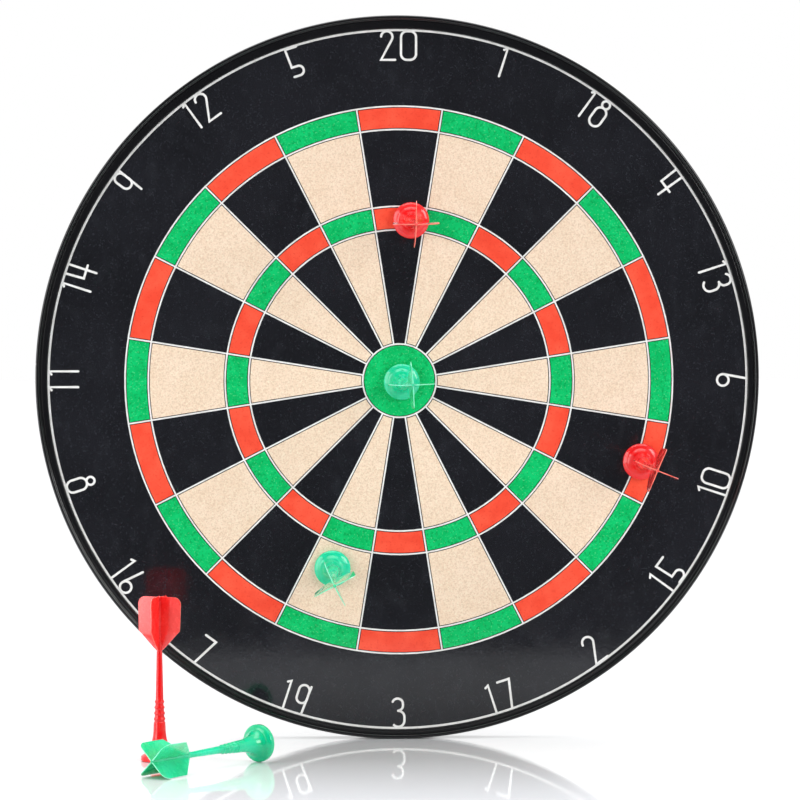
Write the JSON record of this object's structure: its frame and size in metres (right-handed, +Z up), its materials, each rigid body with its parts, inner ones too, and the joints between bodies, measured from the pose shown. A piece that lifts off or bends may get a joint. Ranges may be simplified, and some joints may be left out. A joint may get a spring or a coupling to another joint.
{
  "type": "magnetic dartboard",
  "caption": "Round wall-hung magnetic dartboard: printed scoring face in a moulded edge trim, with clinging darts that have trumpet-shaped magnet heads, ribbed grips and vaned flights.",
  "frame": {"origin": "centre of the board's back face, on the wall", "axes": "+Z up; +Y into the wall, so the printed face looks along -Y; +X to the right as seen by a player facing the board"},
  "size_m": [0.3999, 0.1796, 0.4],
  "materials": {
    "trim": "satin black extruded plastic",
    "fibreboard": "raw fibreboard",
    "hardboard": "dark pressed hardboard",
    "plated_steel": "bright zinc plate",
    "bare_steel": "cold rolled sheet",
    "black_laminate": "black print under gloss laminate",
    "red_ink": "red print under gloss laminate",
    "green_ink": "green print under gloss laminate",
    "cream_ink": "speckled cream print under gloss laminate",
    "white_ink": "white print under gloss laminate",
    "red_plastic": "translucent red moulding",
    "green_plastic": "translucent green moulding",
    "magnet": "nickel plated magnet"
  },
  "bodies": {
    "board": {"edge_trim": "trim", "core_board": "fibreboard", "back_cover": "hardboard", "hanger_plate": "plated_steel", "hanger_screws": "plated_steel", "steel_sheet": "bare_steel", "printed_sheet": "black_laminate", "red_fields": "red_ink", "green_fields": "green_ink", "cream_fields": "cream_ink", "white_lines": "white_ink", "number_ring": "white_ink"},
    "red_dart_treble": {"red_dart_treble_barrel": "red_plastic", "red_dart_treble_magnet": "magnet", "red_dart_treble_flight": "red_plastic"},
    "green_dart_bull": {"green_dart_bull_barrel": "green_plastic", "green_dart_bull_magnet": "magnet", "green_dart_bull_flight": "green_plastic"},
    "red_dart_double": {"red_dart_double_barrel": "red_plastic", "red_dart_double_magnet": "magnet", "red_dart_double_flight": "red_plastic"},
    "green_dart_single": {"green_dart_single_barrel": "green_plastic", "green_dart_single_magnet": "magnet", "green_dart_single_flight": "green_plastic"},
    "red_dart_standing": {"red_dart_standing_barrel": "red_plastic", "red_dart_standing_magnet": "magnet", "red_dart_standing_flight": "red_plastic"},
    "green_dart_lying": {"green_dart_lying_barrel": "green_plastic", "green_dart_lying_magnet": "magnet", "green_dart_lying_flight": "green_plastic"}
  },
  "joints": [
    {"name": "pull_off_red_dart_treble", "type": "slide", "parent": "board", "child": "red_dart_treble", "axis": [0, -1, 0], "range_m": [0, 0.12]},
    {"name": "pull_off_green_dart_bull", "type": "slide", "parent": "board", "child": "green_dart_bull", "axis": [0, -1, 0], "range_m": [0, 0.12]},
    {"name": "pull_off_red_dart_double", "type": "slide", "parent": "board", "child": "red_dart_double", "axis": [0, -1, 0], "range_m": [0, 0.12]},
    {"name": "pull_off_green_dart_single", "type": "slide", "parent": "board", "child": "green_dart_single", "axis": [0, -1, 0], "range_m": [0, 0.12]},
    {"name": "lift_red_dart_standing", "type": "slide", "parent": "board", "child": "red_dart_standing", "axis": [0, 0, 1], "range_m": [0, 0.12]},
    {"name": "lift_green_dart_lying", "type": "slide", "parent": "board", "child": "green_dart_lying", "axis": [0, 0, 1], "range_m": [0, 0.12]}
  ]
}
